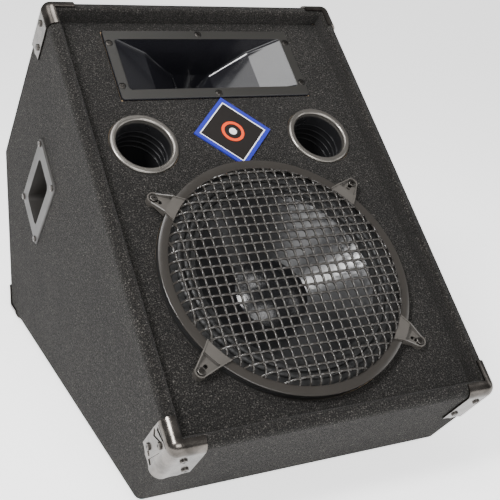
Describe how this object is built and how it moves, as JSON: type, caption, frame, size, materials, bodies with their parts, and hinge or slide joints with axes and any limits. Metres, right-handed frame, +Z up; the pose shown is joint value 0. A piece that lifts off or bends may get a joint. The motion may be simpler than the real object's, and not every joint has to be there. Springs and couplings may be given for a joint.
{
  "type": "stage monitor wedge",
  "caption": "Carpeted floor monitor loudspeaker wedge with a recessed sloping baffle, grilled woofer, horn, round ports, corner protectors and side handles.",
  "frame": {"origin": "on the floor under the rubber feet, at the middle of the outer box in X and Y", "axes": "+Z up, +X across the cabinet to the right seen from the front, -Y towards the listener; the baffle faces -Y and up"},
  "size_m": [0.4114, 0.6452, 0.4838],
  "materials": {
    "badge_face": "dark plate with a blue border and a plain emblem",
    "basket_paint": "black powder coat",
    "black_plastic": "fine-grained black moulding",
    "capacitor_sleeve": "yellow film sleeve",
    "carpet": "dark charcoal needle-felt carpet with light flecks",
    "circuit_board": "green laminate",
    "clamp_paint": "dark warm grey powder coat",
    "coil_winding": "wound aluminium wire on a former",
    "cone_paper": "glossy black coated cone",
    "copper_winding": "enamelled copper winding",
    "corner_plastic": "warm grey satin moulding",
    "diaphragm_foil": "thin metal foil",
    "doped_cloth": "doped pleated cloth",
    "driver_cover": "black anodised cover",
    "dust_cap": "glossy black cap",
    "ferrite": "bare ferrite",
    "foot_rubber": "black rubber",
    "gasket_foam": "black foam strip",
    "grille_paint": "dark warm grey powder coat",
    "horn_plastic": "satin black moulding",
    "lead_sleeve": "black two-core lead",
    "motor_steel": "zinc plated steel",
    "phase_plug": "moulded plug",
    "plated_nuts": "nickel plated",
    "plywood": "raw birch plywood",
    "port_plastic": "satin black moulding",
    "terminal_plastic": "black moulding",
    "zinc_screws": "zinc plated"
  },
  "bodies": {
    "cabinet": {"badge_plate": "badge_face", "baffle_battens": "plywood", "baffle_board": "plywood", "base_corner_protectors": "corner_plastic", "bottom_panel": "plywood", "carpet_baffle": "carpet", "carpet_left": "carpet", "carpet_right": "carpet", "carpet_wrap": "carpet", "clamp_screws": "zinc_screws", "clamp_tee_nuts": "plated_nuts", "corner_screws": "zinc_screws", "crossover_board": "circuit_board", "crossover_capacitors": "capacitor_sleeve", "crossover_inductors": "copper_winding", "crossover_spacers": "terminal_plastic", "driver_back_cover": "driver_cover", "driver_cover_screws": "zinc_screws", "driver_magnet": "ferrite", "driver_phase_plug": "phase_plug", "driver_pole_plate": "motor_steel", "driver_suspension": "diaphragm_foil", "driver_top_plate": "motor_steel", "fitting_screws": "zinc_screws", "foot_screws": "zinc_screws", "grille_clamps": "clamp_paint", "grille_gasket": "gasket_foam", "horn_flare": "horn_plastic", "horn_gasket": "gasket_foam", "horn_screws": "zinc_screws", "input_dish": "black_plastic", "input_jacks": "terminal_plastic", "internal_leads": "lead_sleeve", "jack_nuts": "plated_nuts", "left_handle": "black_plastic", "left_port_tube": "port_plastic", "left_side_panel": "plywood", "rear_panel": "plywood", "right_handle": "black_plastic", "right_port_tube": "port_plastic", "right_side_panel": "plywood", "rubber_feet": "foot_rubber", "toe_corner_protectors": "corner_plastic", "toe_panel": "plywood", "top_corner_protectors": "corner_plastic", "top_panel": "plywood", "woofer_back_plate": "motor_steel", "woofer_basket": "basket_paint", "woofer_front_plate": "motor_steel", "woofer_grille": "grille_paint", "woofer_magnet": "ferrite", "woofer_screws": "zinc_screws", "woofer_spider": "doped_cloth", "woofer_surround": "doped_cloth", "woofer_terminals": "terminal_plastic"},
    "woofer_moving": {"woofer_cone": "cone_paper", "woofer_dust_cap": "dust_cap", "woofer_voice_coil": "coil_winding"},
    "driver_moving": {"driver_diaphragm": "diaphragm_foil", "driver_voice_coil": "coil_winding"}
  },
  "joints": [
    {"name": "woofer_cone_travel", "type": "slide", "parent": "cabinet", "child": "woofer_moving", "axis": [0, -0.6198, 0.7848], "range_m": [-0.004, 0.004], "stiffness_N_per_m": 4500, "deforming": ["woofer_surround", "woofer_spider"]},
    {"name": "driver_diaphragm_travel", "type": "slide", "parent": "cabinet", "child": "driver_moving", "axis": [0, -0.6198, 0.7848], "range_m": [-0.0003, 0.0003], "stiffness_N_per_m": 800, "deforming": ["driver_suspension"]}
  ]
}
